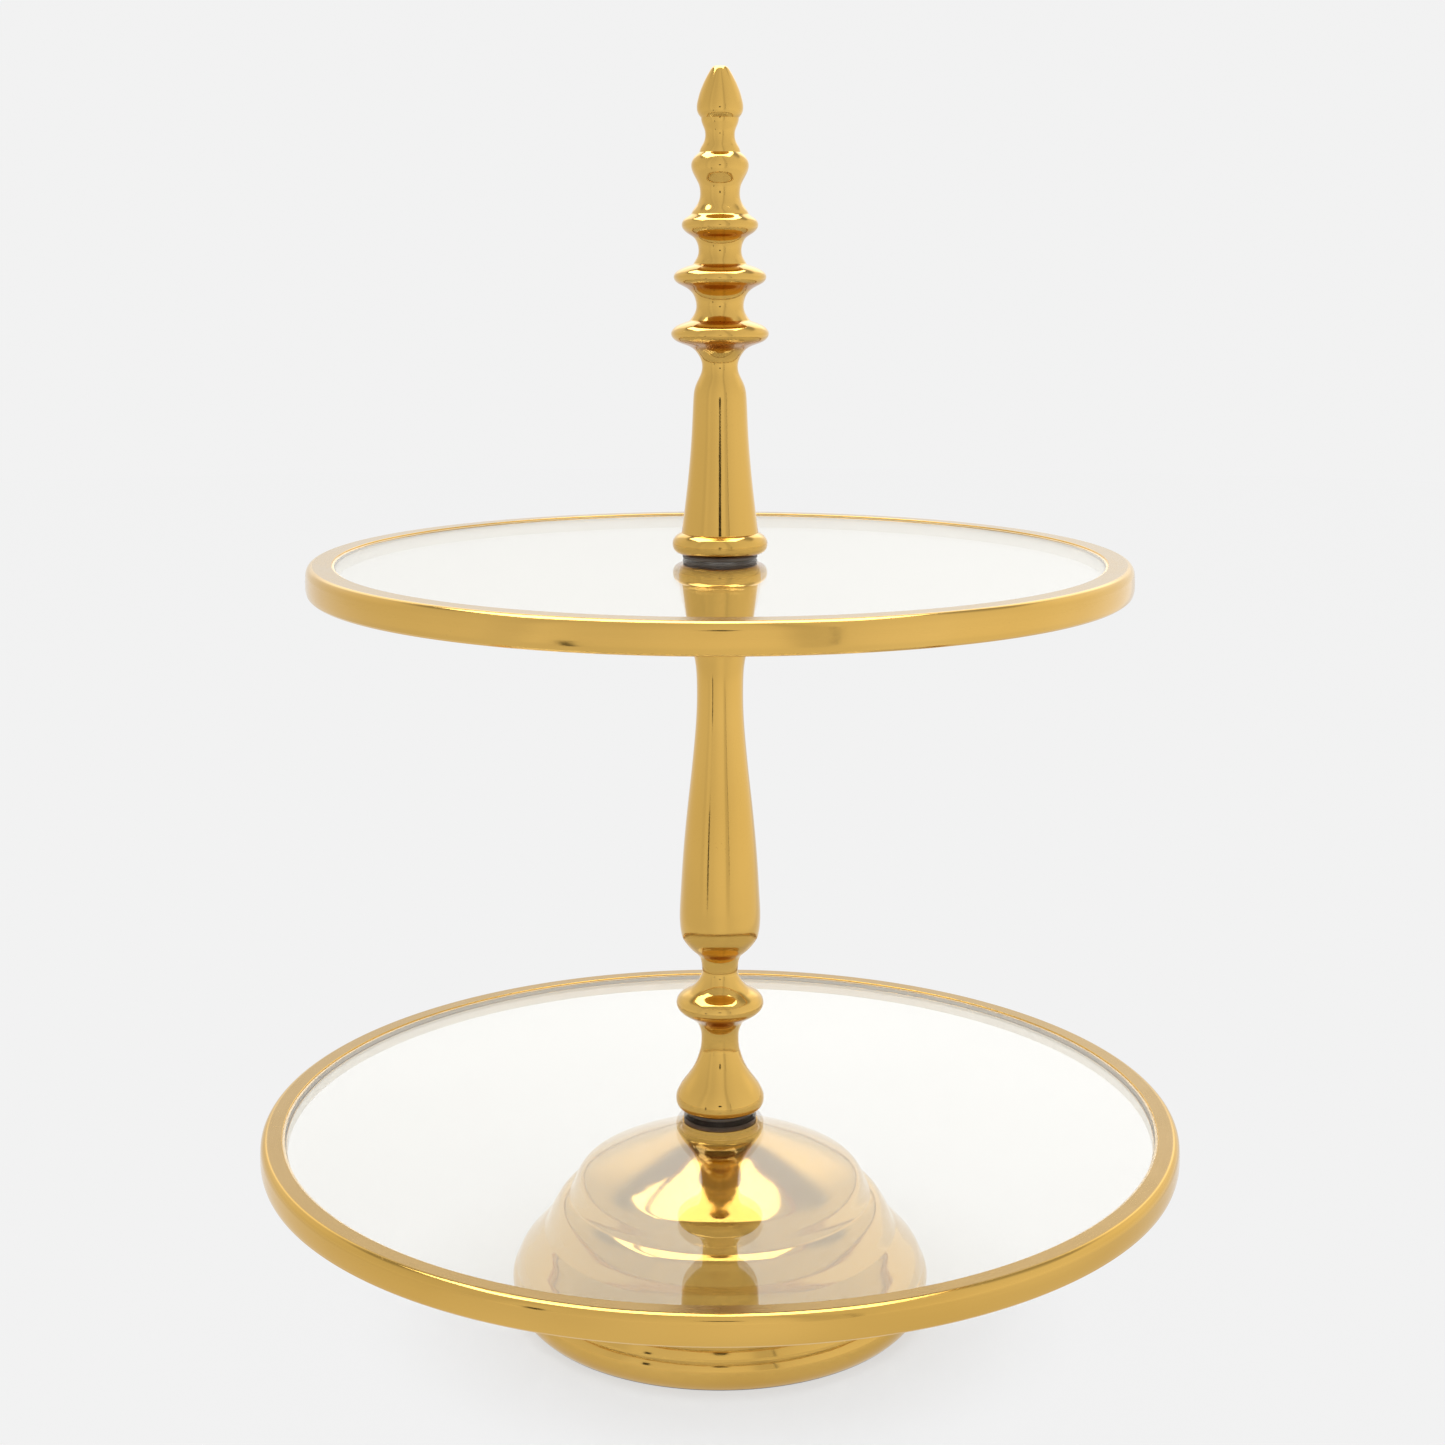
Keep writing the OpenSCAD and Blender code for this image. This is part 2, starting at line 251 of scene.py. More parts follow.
def glass(name):
    """Clear float glass with the faintest unevenness of polish."""
    m, g = material(name)
    co = g.new("ShaderNodeTexCoord").outputs["Object"]
    wave = g.noise(co, 9.0, 1.0)
    smear = g.noise(co, 34.0, 4.0, 0.6, 0.6)
    rg = g.ramp(smear, 0.62, 0.85, 0.0, 0.008)
    col = g.mix(g.line(wave, 0.3, 0.7, 0.0, 1.0), (0.80, 0.795, 0.775, 1.0), (0.82, 0.815, 0.795, 1.0))
    g.surface(Base_Color=col, Roughness=rg, Transmission_Weight=1.0, IOR=1.5,
              Normal=g.bump(g.math("MULTIPLY", wave, 0.00002), 1.0, 1.0))
    return m


def plastic(name, a, b, rough=0.4, sss=0.0):
    m, g = material(name)
    co = g.new("ShaderNodeTexCoord").outputs["Object"]
    cloud = g.noise(co, 150.0, 3.0, 0.6)
    col = g.mix(g.line(cloud, 0.3, 0.7, 0.0, 1.0), a, b)
    g.surface(Base_Color=col, Roughness=g.line(cloud, 0.3, 0.7, rough, rough + 0.12),
              Normal=g.bump(g.math("MULTIPLY", g.noise(co, 1800.0, 2.0), 0.00001), 1.0, 1.0))
    return m


# the turned pieces carry painted shade on their down-facing surfaces
M_turned = gold("gold_turned", under=0.9)
# the rims' top colours are painted reflection: darker on the lower rim, paler on the upper rim, whose top is seen
# nearer edge-on
M_rim_low = gold("gold_rim_low", rough=0.11, streak=1.0, wave=0.8, top=(0.33, 0.21, 0.065), inside=0.1415)
M_rim_high = gold("gold_rim_high", rough=0.11, streak=1.0, wave=0.8, top=(0.43, 0.32, 0.185), inside=0.1195)
M_dome = gold("gold_spun", rough=0.085, streak=0.8, wave=1.6)
M_steel = steel("zinc_plated_steel")
M_rubber = rubber("dark_rubber")
M_glass = glass("float_glass")
M_seal = plastic("silicone", (0.56, 0.45, 0.29, 1.0), (0.64, 0.52, 0.35, 1.0), 0.4)
M_nylon = plastic("nylon", (0.80, 0.80, 0.76, 1.0), (0.86, 0.86, 0.82, 1.0), 0.42)


# ---------------------------------------------------------------- profiles
def spline(points):
    """A cubic through the points with chord-length parameters, sampled every 0.04 mm, then evened out a little."""
    p = np.array(points, float)
    d = np.hypot(*np.diff(p, axis=0).T)
    t = np.concatenate([[0.0], np.cumsum(d)])
    n = len(p)
    a = np.zeros((n, n))
    b = np.zeros((n, 2))
    a[0, 0], a[0, 1] = 2, 1
    b[0] = 3 * (p[1] - p[0]) / d[0]
    a[-1, -1], a[-1, -2] = 2, 1
    b[-1] = 3 * (p[-1] - p[-2]) / d[-1]
    for i in range(1, n - 1):
        a[i, i - 1] = d[i]
        a[i, i] = 2 * (d[i - 1] + d[i])
        a[i, i + 1] = d[i - 1]
        b[i] = 3 * (d[i] * (p[i] - p[i - 1]) / d[i - 1] + d[i - 1] * (p[i + 1] - p[i]) / d[i])
    m = np.linalg.solve(a, b)
    s = np.linspace(0, t[-1], max(int(t[-1] / 0.04), 12))
    k = np.clip(np.searchsorted(t, s, side="right") - 1, 0, n - 2)
    u = ((s - t[k]) / d[k])[:, None]
    dk = d[k][:, None]
    q = ((2 * u**3 - 3 * u**2 + 1) * p[k] + (u**3 - 2 * u**2 + u) * dk * m[k]
         + (-2 * u**3 + 3 * u**2) * p[k + 1] + (u**3 - u**2) * dk * m[k + 1])
    gap = np.interp(s, t, np.concatenate([[d[0]], (d[1:] + d[:-1]) / 2, [d[-1]]]))
    edge = np.minimum(s, t[-1] - s)
    width = np.minimum(0.42 * gap, edge * 0.5 + 1e-4)
    w = np.exp(-0.5 * ((s[:, None] - s[None, :]) / np.maximum(width, 1e-4)[:, None]) ** 2)
    w /= w.sum(1)[:, None]
    out = w @ q
    out[0], out[-1] = p[0], p[-1]
    return out


def thin(q, turn=4.0, step=2.2):
    """Fewer points where the curve is straight, each with the curve's direction and the curve's number."""
    q = np.array(q, float)
    keep, acc, run = [0], 0.0, 0.0
    d = np.diff(q, axis=0)
    ang = np.arctan2(d[:, 1], d[:, 0])
    for i in range(1, len(q) - 1):
        acc += abs(math.degrees((ang[i] - ang[i - 1] + math.pi) % (2 * math.pi) - math.pi))
        run += math.hypot(*d[i - 1])
        if acc >= turn or run >= step:
            keep.append(i)
            acc, run = 0.0, 0.0
    keep.append(len(q) - 1)
    t = np.gradient(q, axis=0)
    t /= np.hypot(t[:, 0], t[:, 1])[:, None]
    number[0] += 1
    return [[q[i][0], q[i][1], t[i][0], t[i][1], number[0]] for i in keep]


number = [0]


def curve(points, turn=4.0, step=2.2):
    return thin(spline(points), turn, step)


def rounded(p, radii, n=4, closed=False):
    """A polyline with its corners rounded. radii is one number or a list, in mm."""
    out = []
    count = len(p)
    for i in range(count):
        r = radii if isinstance(radii, (int, float)) else radii[i]
        if (not closed and i in (0, count - 1)) or r <= 0:
            out.append(list(p[i]))
            continue
        a, b, c = (np.array(p[(i - 1) % count][:2], float), np.array(p[i][:2], float),
                   np.array(p[(i + 1) % count][:2], float))
        u, v = (a - b) / np.linalg.norm(a - b), (c - b) / np.linalg.norm(c - b)
        half = math.acos(max(-1, min(1, float(u @ v)))) / 2
        if half > math.radians(89):
            out.append(list(p[i]))
            continue
        t = min(r / math.tan(half), 0.48 * np.linalg.norm(a - b), 0.48 * np.linalg.norm(c - b))
        rr = t * math.tan(half)
        mid = b + (u + v) / np.linalg.norm(u + v) * (rr / math.sin(half))
        s, e = b + u * t - mid, b + v * t - mid
        a0 = math.atan2(s[1], s[0])
        a1 = math.atan2(e[1], e[0])
        da = (a1 - a0 + math.pi) % (2 * math.pi) - math.pi
        sign = math.copysign(1.0, da)
        number[0] += 1
        for k in range(n + 1):
            w = a0 + da * k / n
            out.append([mid[0] + rr * math.cos(w), mid[1] + rr * math.sin(w),
                        -math.sin(w) * sign, math.cos(w) * sign, number[0]])
    return out


def up(p, dz):
    return [[q[0], q[1] + dz, *q[2:]] for q in p]


def lathe(name, profile, segments=192, closed=False):
    """A solid of revolution. An open profile starts and ends on the axis; a closed one is a ring's section.
    Profiles run anticlockwise seen with r to the right and z up, so that faces look outwards."""
    p = [profile[0]]
    for q in profile[1:]:
        if math.hypot(q[0] - p[-1][0], q[1] - p[-1][1]) > 1e-4:
            p.append(q)
    if closed and math.hypot(p[0][0] - p[-1][0], p[0][1] - p[-1][1]) < 1e-4:
        p.pop()
    n = len(p)
    seg = [(i, (i + 1) % n) for i in range(n if closed else n - 1)]
    start, end = [], []
    for i, j in seg:
        dr, dz = p[j][0] - p[i][0], p[j][1] - p[i][1]
        l = math.hypot(dr, dz)
        flat = (dz / l, -dr / l)
        smooth = len(p[i]) > 4 and len(p[j]) > 4 and p[i][4] == p[j][4]
        start.append((p[i][3], -p[i][2]) if smooth else flat)
        end.append((p[j][3], -p[j][2]) if smooth else flat)
    cs = [(math.cos(2 * math.pi * s / segments), math.sin(2 * math.pi * s / segments)) for s in range(segments)]
    verts, index = [], []
    for r, z in [q[:2] for q in p]:
        if r < 1e-6:
            index.append([len(verts)] * segments)
            verts.append((0.0, 0.0, z * MM))
        else:
            index.append(list(range(len(verts), len(verts) + segments)))
            verts += [(r * c * MM, r * s * MM, z * MM) for c, s in cs]
    faces, normals = [], []
    for k, (i, j) in enumerate(seg):
        if p[i][0] < 1e-6 and p[j][0] < 1e-6:
            continue
        a, b = start[k], end[k]
        for s in range(segments):
            t = (s + 1) % segments
            quad = [(index[i][s], a, s), (index[i][t], a, t), (index[j][t], b, t), (index[j][s], b, s)]
            if p[i][0] < 1e-6:
                quad = [quad[0], quad[2], quad[3]]
            elif p[j][0] < 1e-6:
                quad = [quad[0], quad[1], quad[2]]
            faces.append([q[0] for q in quad])
            for v, nn, at in quad:
                if p[i][0] < 1e-6 and v == index[i][0] and abs(nn[1]) > 0.99:
                    normals.append((0.0, 0.0, nn[1]))
                else:
                    normals.append((nn[0] * cs[at][0], nn[0] * cs[at][1], nn[1]))
    me = bpy.data.meshes.new(name)
    me.from_pydata(verts, [], faces)
    me.polygons.foreach_set("use_smooth", [True] * len(me.polygons))
    me.update()
    me.normals_split_custom_set(normals)
    ob = bpy.data.objects.new(name, me)
    scene.collection.objects.link(ob)
    return ob


def piece(ob, node, body, mat):
    ob.data.materials.append(mat)
    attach(ob, body)
    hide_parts(node)
    return ob


# levels, in mm
Z_DOME, Z_G1, Z_G1T, Z_COL = 59.5, 61.0, 66.0, 67.5
Z_COLT, Z_G2, Z_G2T, Z_HAN = 244.0, 245.5, 250.5, 252.0

foot_flare = [[12.4, 0], [13.3, 0.3], [14.1, 1], [14.5, 2], [14.6, 3.2], [14.4, 4.6], [13.6, 6.4],
              [12.4, 8.4], [10.9, 10.3], [9.6, 12.2], [8.4, 14.3], [7.5, 16.5], [6.9, 18.4], [6.45, 20.1]]
shaft_low = [[6.45, 20.1], [6.2, 22], [6.12, 24], [6.2, 26], [6.8, 28], [7.8, 29.8], [9.1, 30.9],
             [10.7, 32], [12.2, 32.9], [13.4, 33.9], [14.2, 35.1], [14.35, 36.4], [13.9, 37.8],
             [12.9, 38.9], [11.2, 39.9], [9.5, 40.9], [8.3, 42], [7.2, 43.4], [6.35, 44.9], [5.85, 46.2],
             [5.8, 47.4], [5.95, 49.2], [6.3, 51], [7.1, 52.6], [8.5, 53.8], [9.9, 55.1], [11.2, 56.7],
             [12.1, 58.1], [12.5, 59.1]]
shaft_high = [[12.55, 59.3], [13, 61.8], [13.2, 65], [13.1, 69], [12.85, 73], [12.3, 82.5],
              [11.45, 93], [10.45, 103], [9.3, 113], [8.3, 123], [7.55, 132.5], [7.4, 138], [7.42, 143],
              [7.65, 148], [8.2, 151.5], [9.3, 155.5], [10.6, 159.5], [11.8, 164], [12.6, 168],
              [13, 171.5], [13, 174], [12.4, 175.8], [11.8, 176.5]]
grip_bead = [[12.3, 0], [13.6, 0.4], [14.6, 1.3], [15, 2.6], [14.9, 4], [14.2, 5.3], [13, 6.2], [12.1, 6.6]]
grip_cone = [[12.05, 6.7], [11.5, 11], [10.85, 16.4], [10.25, 21.4], [9.55, 28.4], [9, 35], [8.65, 41.5],
             [8.4, 47.5], [8.2, 50.2], [7.7, 52.3], [6.75, 54.4], [5.85, 56.2], [5.5, 58.2], [5.85, 60.3],
             [6.8, 62], [7.9, 63.4], [9.6, 64.5], [12.4, 65.4], [14.2, 66.4], [15.05, 67.5], [15.2, 68.5],
             [14.75, 69.5], [13.8, 70.5], [12, 71.4], [9.6, 72.2]]
grip_mid = [[9.3, 72.4], [8.6, 73.3], [7.9, 74.4], [7.4, 75.7], [7.3, 77], [7.6, 78.7], [8.3, 80.3],
            [9.3, 81.4], [10.9, 82.5], [12.9, 83.4], [14, 84.4], [14.35, 85.4], [14.1, 86.4],
            [13.1, 87.4], [11.2, 88.4], [8.6, 89.2]]
grip_top = [[8.2, 89.5], [7.75, 90.3], [7.05, 91.4], [6.65, 92.6], [6.6, 93.8], [6.9, 95.4], [7.4, 96.5],
            [8.2, 97.5], [9.8, 98.4], [11, 99.4], [11.65, 100.3], [11.8, 101.3], [11.45, 102.4],
            [10.4, 103.3], [9.2, 104.1], [8.9, 104.4]]
stem_low = [[8.8, 104.5], [8.4, 105.4], [7.6, 106.4], [6.9, 107.4], [6.4, 108.5], [6.1, 109.8],
            [6.1, 111.2], [6.4, 113], [7.1, 114.4], [7.9, 115.8], [8.6, 117.3], [8.85, 118.7],
            [8.75, 119.7], [8.3, 120.7], [7.6, 121.6], [6.8, 122.3], [6.3, 122.7]]
stem_high = [[6.2, 123.2], [5.8, 124.3], [5.1, 125.4], [4.65, 126.5], [4.47, 127.9], [4.7, 129.4],
             [5.15, 130.4], [5.55, 131.4], [5.75, 132.4], [5.78, 132.9]]
bud = [[5.9, 133], [6.4, 133.6], [6.9, 134.5], [7.1, 135.7], [7.05, 136.9], [6.75, 138.3], [6.2, 140.3],
       [5.35, 142.4], [4.4, 144.4], [3.3, 146.3], [2.5, 147.5], [2, 147.9], [1.4, 148]]
tier_top = [[12.5, 59.5], [12.5, 57.6], [12.6, 56.6], [13.1, 55.8], [14.2, 55.2]]
tier_1 = [[14.2, 55.2], [18, 54.1], [22, 52.7], [27, 50.9], [32.1, 49], [36.8, 47], [41.1, 45], [43.6, 43.7], [45.5, 42.5], [46.9, 41], [47.9, 39.3], [48.6, 37.5], [49.3, 35.9], [50, 34.8]]
tier_2 = [[50.2, 34.3], [51.6, 33.6], [52.9, 32.7], [54.1, 31.4], [55.1, 29.8], [56.1, 28.1], [56.9, 26.6], [57.5, 25.1], [58.1, 23.9], [58.7, 22.8]]
tier_3 = [[59.3, 22.2], [60.6, 20.9], [62.4, 18.9], [64.3, 16.9], [66, 15], [67.2, 13.1], [68, 11.2]]
tier_foot = [[68.1, 10.4], [69.1, 8.8], [69.6, 6.6], [69.2, 4.4], [68.3, 2.4], [67.4, 1.2], [66.6, 0.4]]
dome_in = [[66.6, 2.6], [66.9, 9], [65.5, 12.4], [62.8, 16], [60.9, 18.1], [59, 19.8], [57, 20.8], [56.2, 23.6], [55, 26.2], [53.2, 28.7], [51.5, 31], [49.9, 32.4], [48.1, 33.3], [47.2, 36], [46.2, 38.5], [44.6, 40.5], [42.4, 42.1], [38.4, 44.1], [33.6, 46.2], [28.5, 48.1], [23, 49.8], [17, 50.9]]


# ---------------------------------------------------------------- turned pieces
# Sections run from the bottom of the axis out, up the outside, and back to the axis.
def build():
    # foot of the column, bored from below for the screw and from above for the stud
    sec = ([[0, 14.0], [4.06, 14.0]] + [[4.06, 0.0]] + curve(foot_flare) + [[3.02, 20.1], [3.02, 14.5], [0, 14.5]])
    piece(lathe("column_foot_turned", up(sec, Z_COL)), "column_foot", "column", M_turned)

    sec = ([[0, 32.1 - 1.0], [3.02, 32.1 - 1.0], [3.02, 20.1]] + curve(shaft_low) + curve(shaft_high)
           + [[4.02, 176.5], [4.02, 162.5], [0, 162.5]])
    piece(lathe("column_shaft_turned", up(sec, Z_COL)), "column_shaft", "column", M_turned)

    sec = ([[0, 15.0], [4.06, 15.0], [4.06, 0.0]] + curve(grip_bead) + curve(grip_cone) + curve(grip_mid)
           + curve(grip_top) + [[3.02, 104.4], [3.02, 92.4], [0, 92.4]])
    piece(lathe("handle_grip_turned", up(sec, Z_HAN)), "handle_grip", "handle", M_turned)

    sec = ([[0, 114.4], [3.02, 114.4], [3.02, 104.4], [8.8, 104.4]] + curve(stem_low) + curve(stem_high)
           + [[2.02, 132.9], [2.02, 125.0], [0, 125.0]])
    piece(lathe("finial_stem_turned", up(sec, Z_HAN)), "finial_stem", "handle", M_turned)

    sec = [[0, 139.0], [2.02, 139.0], [2.02, 132.9], [5.8, 132.9]] + curve(bud) + [[0, 148.0]]
    piece(lathe("finial_bud_turned", up(sec, Z_HAN)), "finial_bud", "handle", M_turned)

    # spun foot: boss bored through, hollow below
    outer = (curve(tier_foot[::-1]) + curve(tier_3[::-1]) + curve(tier_2[::-1]) + curve(tier_1[::-1])
             + curve(tier_top[::-1]))
    sec = ([[4.3, 51.0], [14, 51.0]] + curve(dome_in[::-1]) + [[57.5, 2.6], [57.5, 0.4], [59.7, 0.4], [59.7, 1.2],
           [66.3, 1.2], [66.3, 0.4]] + outer + [[4.3, 59.5]])
    piece(lathe("foot_spun", sec, closed=True), "base_dome", "base", M_dome)

    # tray rims
    for node, body, d, w, zt in (("lower_rim", "lower_tray", 300.0, 8.5, 66.5), ("upper_rim", "upper_tray", 258.0, 9.5, 251.0)):
        r, wall, h, lip, gt = d / 2, w - 1.4, 9.5, 0.5, 5.0
        bow = [[r - 0.3, 0.8 - h], [r, 1.8 - h], [r, -3.6], [r - 0.08, -2.4], [r - 0.4, -1.35], [r - 1.0, -0.55], [r - 1.8, -0.12],
               [r - 2.5, 0.0]]
        inner = rounded([[r - wall + 0.8, 0.0], [r - wall, 0.0], [r - wall, -lip - gt], [r - w, -lip - gt],
                         [r - w, -h], [r - w + 2.0, -h]], [0, 0.22, 0.05, 0.2, 0.35, 0])
        sec = ([[r - 1.5, -h], [r - 0.9, 0.2 - h]] + curve(bow, 5.0, 1.2) + inner)
        piece(lathe(node.replace("rim", "tray_rim"), up(sec, zt), 256, closed=True), node, body,
              M_rim_low if r > 140 else M_rim_high)
        # soft seal that fills the gap round the glass, level with it
        a, b = r - wall - 0.75, r - wall + 0.03
        sec = rounded([[a, zt - 5.47], [b, zt - 5.47], [b, zt - 0.47], [a, zt - 0.47]], [0, 0, 0, 0.05], 3, closed=True)
        piece(lathe(node.replace("rim", "glass_seal"), sec, 256, closed=True), node + "_seal", body, M_seal)

    # glass plates, a hair clear of what touches them, with arrissed edges
    for node, body, r, z in (("lower_glass", "lower_tray", 142.3, Z_G1), ("upper_glass", "upper_tray", 120.3, Z_G2)):
        e = 0.015
        sec = rounded([[6.0 + e, 0.3], [6.3 + e, e], [r - 0.12 - e, e], [r - e, 0.12], [r - e, 4.88], [r - 0.12 - e, 5 - e],
                       [6.3 + e, 5 - e], [6.0 + e, 4.7]], 0.12, 3, closed=True)
        piece(lathe(node.replace("glass", "plate"), up(sec, z), 256, closed=True), node, body, M_glass)

    # rubber washers with rounded edges, pinched a little by what they carry
    for node, body, z in (("lower_washer", "column_washer", Z_G1T), ("upper_washer", "handle_washer", Z_G2T)):
        sec = rounded([[4.3, 0.02], [11.45, 0.02], [11.8, 0.45], [11.8, 1.05], [11.45, 1.5], [4.3, 1.5]],
                      [0.1, 0.3, 0.45, 0.45, 0.3, 0.1], 4, closed=True)
        piece(lathe(node + "_moulded", up(sec, z), 160, closed=True), node, body, M_rubber)


build()

for name, mat in (("foot_pad_ring", M_rubber), ("lower_gasket", M_rubber), ("upper_gasket", M_rubber),
                  ("base_bolt", M_steel), ("base_flat_washer", M_steel), ("base_lock_washer", M_steel),
                  ("column_stud", M_steel), ("tie_stud", M_steel), ("finial_stud", M_steel), ("bud_stud", M_steel),
                  ("lower_hole_bush", M_nylon), ("upper_hole_bush", M_nylon)):
    ob = nodes[name]
    ob.data.materials.clear()
    ob.data.materials.append(mat)


# ---------------------------------------------------------------- floor, studio
PALE = 0.887

# how light the room is all round, in degrees from the front towards the right
ROUND = [(-180, 0.97), (-120, 0.90), (-66, 0.88), (-34, 0.89), (-22, 0.92), (-11, 0.98), (0, 1.02), (11, 1.03),
         (25, 0.96), (35, 0.98), (44, 1.02), (66, 1.07), (100, 1.09), (150, 1.08), (180, 0.97)]
BANDS = [(-180, 1.0), (-64, 1.0), (-59, 0.94), (-53, 0.94), (-47, 1.06), (-42, 1.05), (-36, 1.0), (16, 1.0), (20, 0.83),
         (26, 0.83), (29, 0.97), (33, 1.0), (180, 1.0)]


def round_about(g, x, y, stops):
    """A value read off a table by compass angle."""
    az = g.math("ARCTAN2", x, g.math("MULTIPLY", y, -1.0))
    at = g.math("ADD", g.math("DIVIDE", az, 2 * math.pi), 0.5)
    n = g.new("ShaderNodeValToRGB")
    e = n.color_ramp.elements
    while len(e) < len(stops):
        e.new(0.5)
    for k, (deg, v) in enumerate(stops):
        e[k].position = k / 1000.0
    for k in range(len(stops) - 1, -1, -1):
        e[k].position = (stops[k][0] + 180.0) / 360.0
        e[k].color = (stops[k][1] / 2, stops[k][1] / 2, stops[k][1] / 2, 1.0)
    g.put(n.inputs[0], at)
    return g.math("MULTIPLY", n.outputs[0], 2.0)


def make_floor():
    bpy.ops.mesh.primitive_circle_add(vertices=128, radius=3.0, fill_type="NGON", location=(0, 0, -0.0001))
    ob = bpy.context.object
    ob.name = "floor"
    m, g = material("floor")
    co = g.new("ShaderNodeTexCoord").outputs["Object"]
    x, y, z = g.split(co)
    rad = g.vmath("LENGTH", g.join(x, y, 0.0))
    grain = g.noise(co, 60.0, 3.0)
    col = g.mix(g.line(grain, 0.3, 0.7, 0.0, 1.0), (0.57, 0.57, 0.57, 1.0), (0.58, 0.58, 0.58, 1.0))
    d = g.new("ShaderNodeBsdfDiffuse")
    g.put(d.inputs[0], col)
    # the paper is evenly light where it shows, and takes the room's light elsewhere
    side = g.math("SUBTRACT", g.math("ABSOLUTE", x), g.math("MULTIPLY", g.math("ADD", y, 0.72), 0.35))
    away = g.math("MAXIMUM", g.ramp(side, 0.02, 0.15), g.ramp(y, -0.14, -0.34))
    level = g.math("MULTIPLY", round_about(g, x, y, ROUND), g.ramp(rad, 0.6, 1.0, 0.94, 1.0))
    bands = round_about(g, x, y, BANDS)
    bands = g.math("ADD", 1.0, g.math("MULTIPLY", g.math("SUBTRACT", bands, 1.0), g.ramp(rad, 0.6, 1.0)))
    level = g.math("MULTIPLY", level, bands)
    value = g.math("ADD", PALE, g.math("MULTIPLY", away, g.math("SUBTRACT", level, PALE)))
    e = g.new("ShaderNodeEmission")
    g.put(e.inputs[0], g.join(value, value, value))
    mix = g.new("ShaderNodeMixShader")
    g.put(mix.inputs[0], g.ramp(rad, 0.068, 0.125, 0.70, 0.992))
    g.t.links.new(d.outputs[0], mix.inputs[1])
    g.t.links.new(e.outputs[0], mix.inputs[2])
    out = g.new("ShaderNodeOutputMaterial")
    g.t.links.new(mix.outputs[0], out.inputs[0])
    ob.data.materials.append(m)


def make_world():
    w = bpy.data.worlds.new("studio")
    scene.world = w
    w.use_nodes = True
    g = Graph(w.node_tree)
    d = g.new("ShaderNodeTexCoord").outputs["Generated"]
    x, y, z = g.split(d)
    el = g.math("ARCSINE", g.math("MINIMUM", g.math("MAXIMUM", z, -1.0), 1.0))
    deg = math.radians
    # even walls, lighter towards the back above the horizon
    level = g.math("MULTIPLY", round_about(g, x, y, ROUND), round_about(g, x, y, BANDS))
    level = g.math("MULTIPLY", level, g.line(el, deg(-10), deg(50), 0.99, 0.88))
    behind = g.ramp(y, 0.0, 0.5)
    wall = g.math("ADD", g.line(el, deg(3), deg(9), 0.0, 0.22), g.ramp(el, deg(11), deg(21), 0.0, 0.66))
    wall = g.math("MULTIPLY", wall, g.ramp(el, deg(34), deg(43), 1.0, 0.0))
    wall = g.math("MULTIPLY", wall, g.line(x, -0.4, 0.4, 0.86, 1.12))
    wall = g.math("MULTIPLY", wall, g.ramp(g.math("ABSOLUTE", x), 0.34, 0.52, 1.0, 0.15))
    gap = g.math("MULTIPLY", g.ramp(el, deg(38), deg(45)), g.ramp(el, deg(56), deg(63), 1.0, 0.0))
    level = g.math("MULTIPLY", level, g.math("SUBTRACT", 1.0, g.math("MULTIPLY", g.math("MULTIPLY", gap, behind), 0.5)))
    level = g.math("ADD", level, g.math("MULTIPLY", behind, wall))
    lp = g.new("ShaderNodeLightPath")
    seen = lp.outputs["Is Camera Ray"]
    value = g.math("ADD", g.math("MULTIPLY", g.math("SUBTRACT", 1.0, seen), level), g.math("MULTIPLY", seen, PALE))
    b = g.new("ShaderNodeBackground")
    warm = g.math("MULTIPLY", g.math("SUBTRACT", 1.0, seen), behind)
    g.put(b.inputs[0], g.join(value, g.math("MULTIPLY", value, g.line(warm, 0.0, 1.0, 1.0, 0.992)),
                              g.math("MULTIPLY", value, g.line(warm, 0.0, 1.0, 1.0, 0.955))))
    out = g.new("ShaderNodeOutputWorld")
    g.t.links.new(b.outputs[0], out.inputs[0])


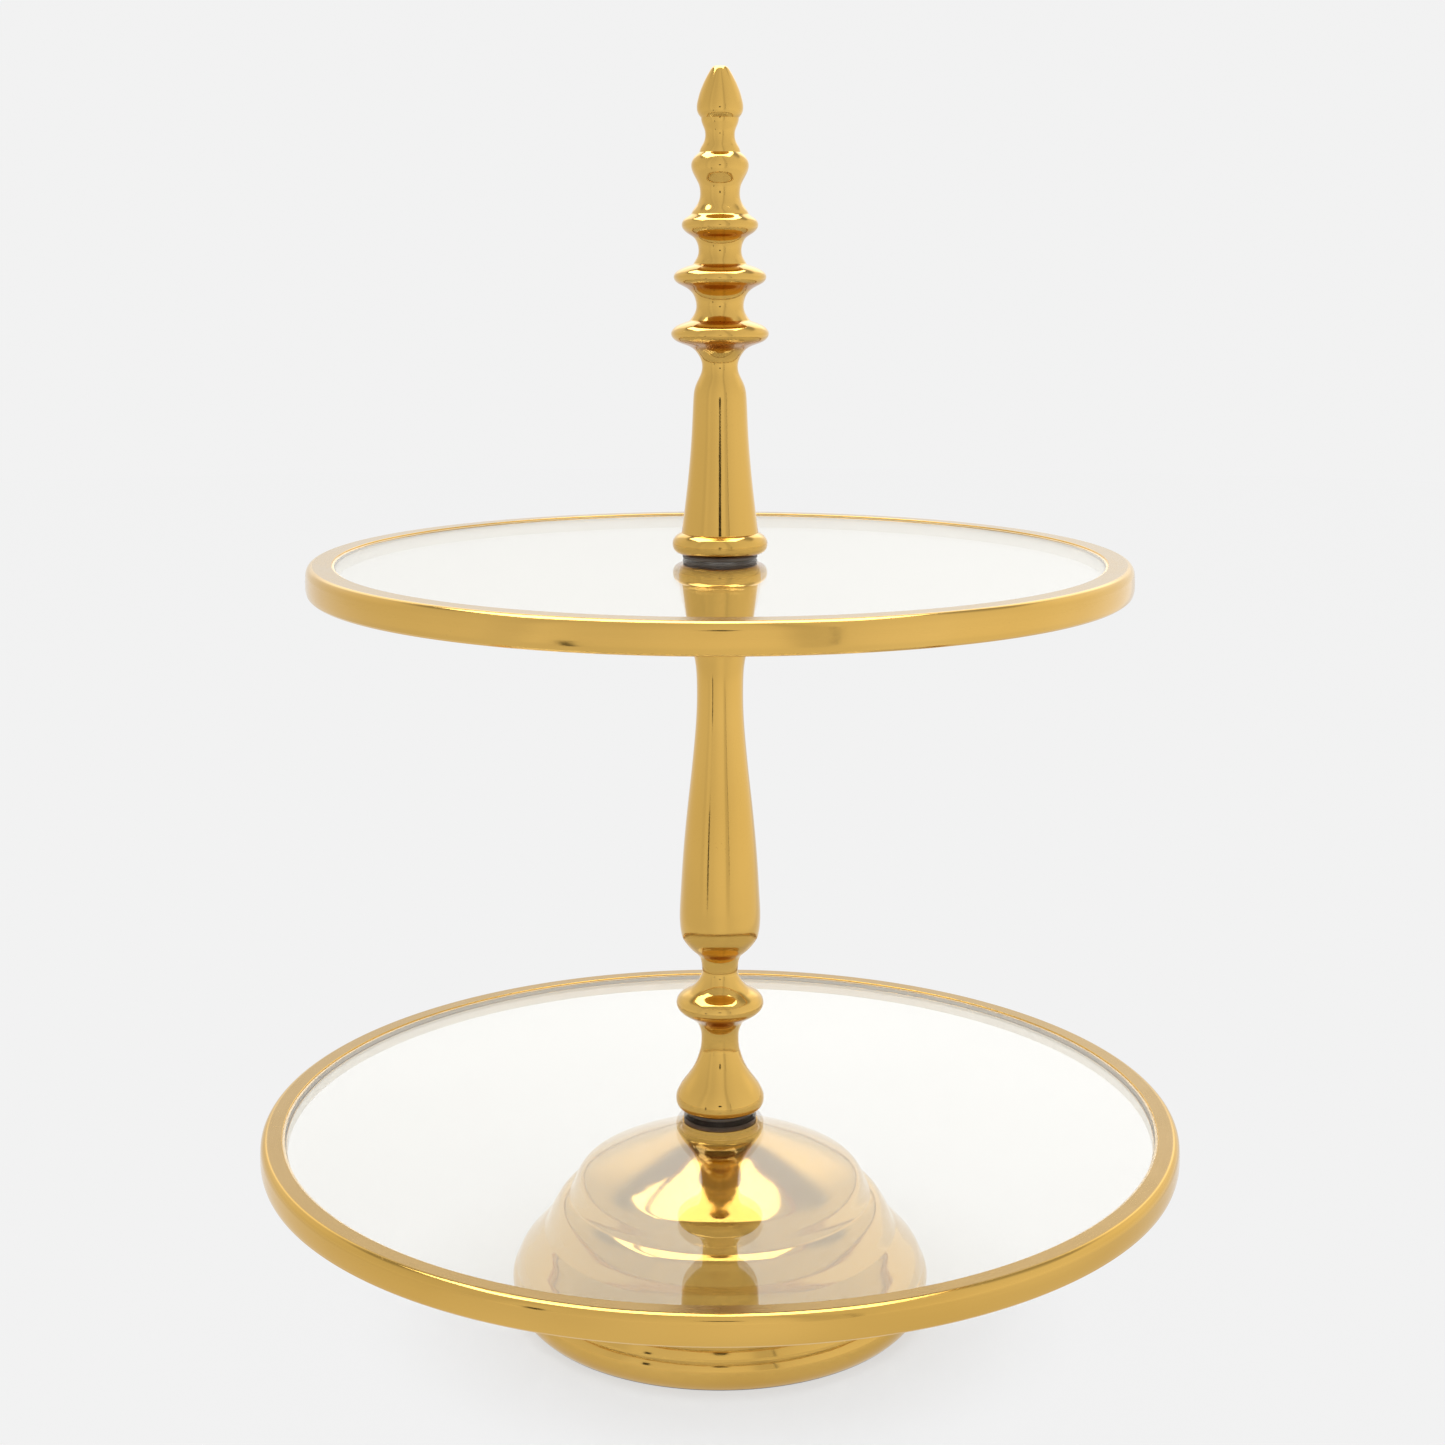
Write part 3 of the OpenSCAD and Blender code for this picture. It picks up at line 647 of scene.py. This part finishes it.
def softbox(name, at, look, w, h, power, shape="RECTANGLE"):
    l = bpy.data.lights.new(name, "AREA")
    l.shape = shape
    l.size, l.size_y = w, h
    l.energy = power
    ob = bpy.data.objects.new(name, l)
    scene.collection.objects.link(ob)
    ob.location = at
    ob.rotation_euler = (Vector(look) - Vector(at)).to_track_quat("-Z", "Y").to_euler()
    ob.visible_camera = False
    return ob


def radiance(w, h, value):
    """Power in watts of a rectangle that looks that bright."""
    return value * w * h * math.pi


make_floor()
make_world()
softbox("top", (-0.17, 0.44, 1.62), (-0.17, 0.44, 0.0), 1.5, 1.12, radiance(1.5, 1.12, 5.5))


def dark_card(name, verts, shade=0.012):
    """Something dark in the room that only reflections show, such as the camera itself."""
    me = bpy.data.meshes.new(name)
    me.from_pydata(verts, [], [list(range(len(verts)))])
    ob = bpy.data.objects.new(name, me)
    scene.collection.objects.link(ob)
    m, g = material(name)
    n = g.new("ShaderNodeBsdfDiffuse")
    n.inputs[0].default_value = (shade, shade * 0.95, shade * 0.88, 1.0)
    out = g.new("ShaderNodeOutputMaterial")
    g.t.links.new(n.outputs[0], out.inputs[0])
    me.materials.append(m)
    ob.visible_camera = False
    ob.visible_shadow = False
    ob.visible_diffuse = False
    ob.visible_transmission = False
    return ob


def disc(cx, cy, cz, r, n=24):
    return [(cx + r * math.cos(2 * math.pi * k / n), cy, cz + r * math.sin(2 * math.pi * k / n)) for k in range(n)]


def strip(az, dist, z0, z1, width):
    """An upright band that faces the stand, az degrees from the front towards the right."""
    a = math.radians(az)
    cx, cy = dist * math.sin(a), -dist * math.cos(a)
    tx, ty = math.cos(a) * width / 2, math.sin(a) * width / 2
    return [(cx - tx, cy - ty, z0), (cx + tx, cy + ty, z0), (cx + tx, cy + ty, z1), (cx - tx, cy - ty, z1)]


dark_card("camera_front", disc(0.0, -0.73, 0.344, 0.052))
dark_card("stand_left", strip(-36.0, 0.55, 0.05, 0.15, 0.034), 0.04)
dark_card("stand_right", strip(28.0, 1.05, 0.0, 0.62, 0.016), 0.05)
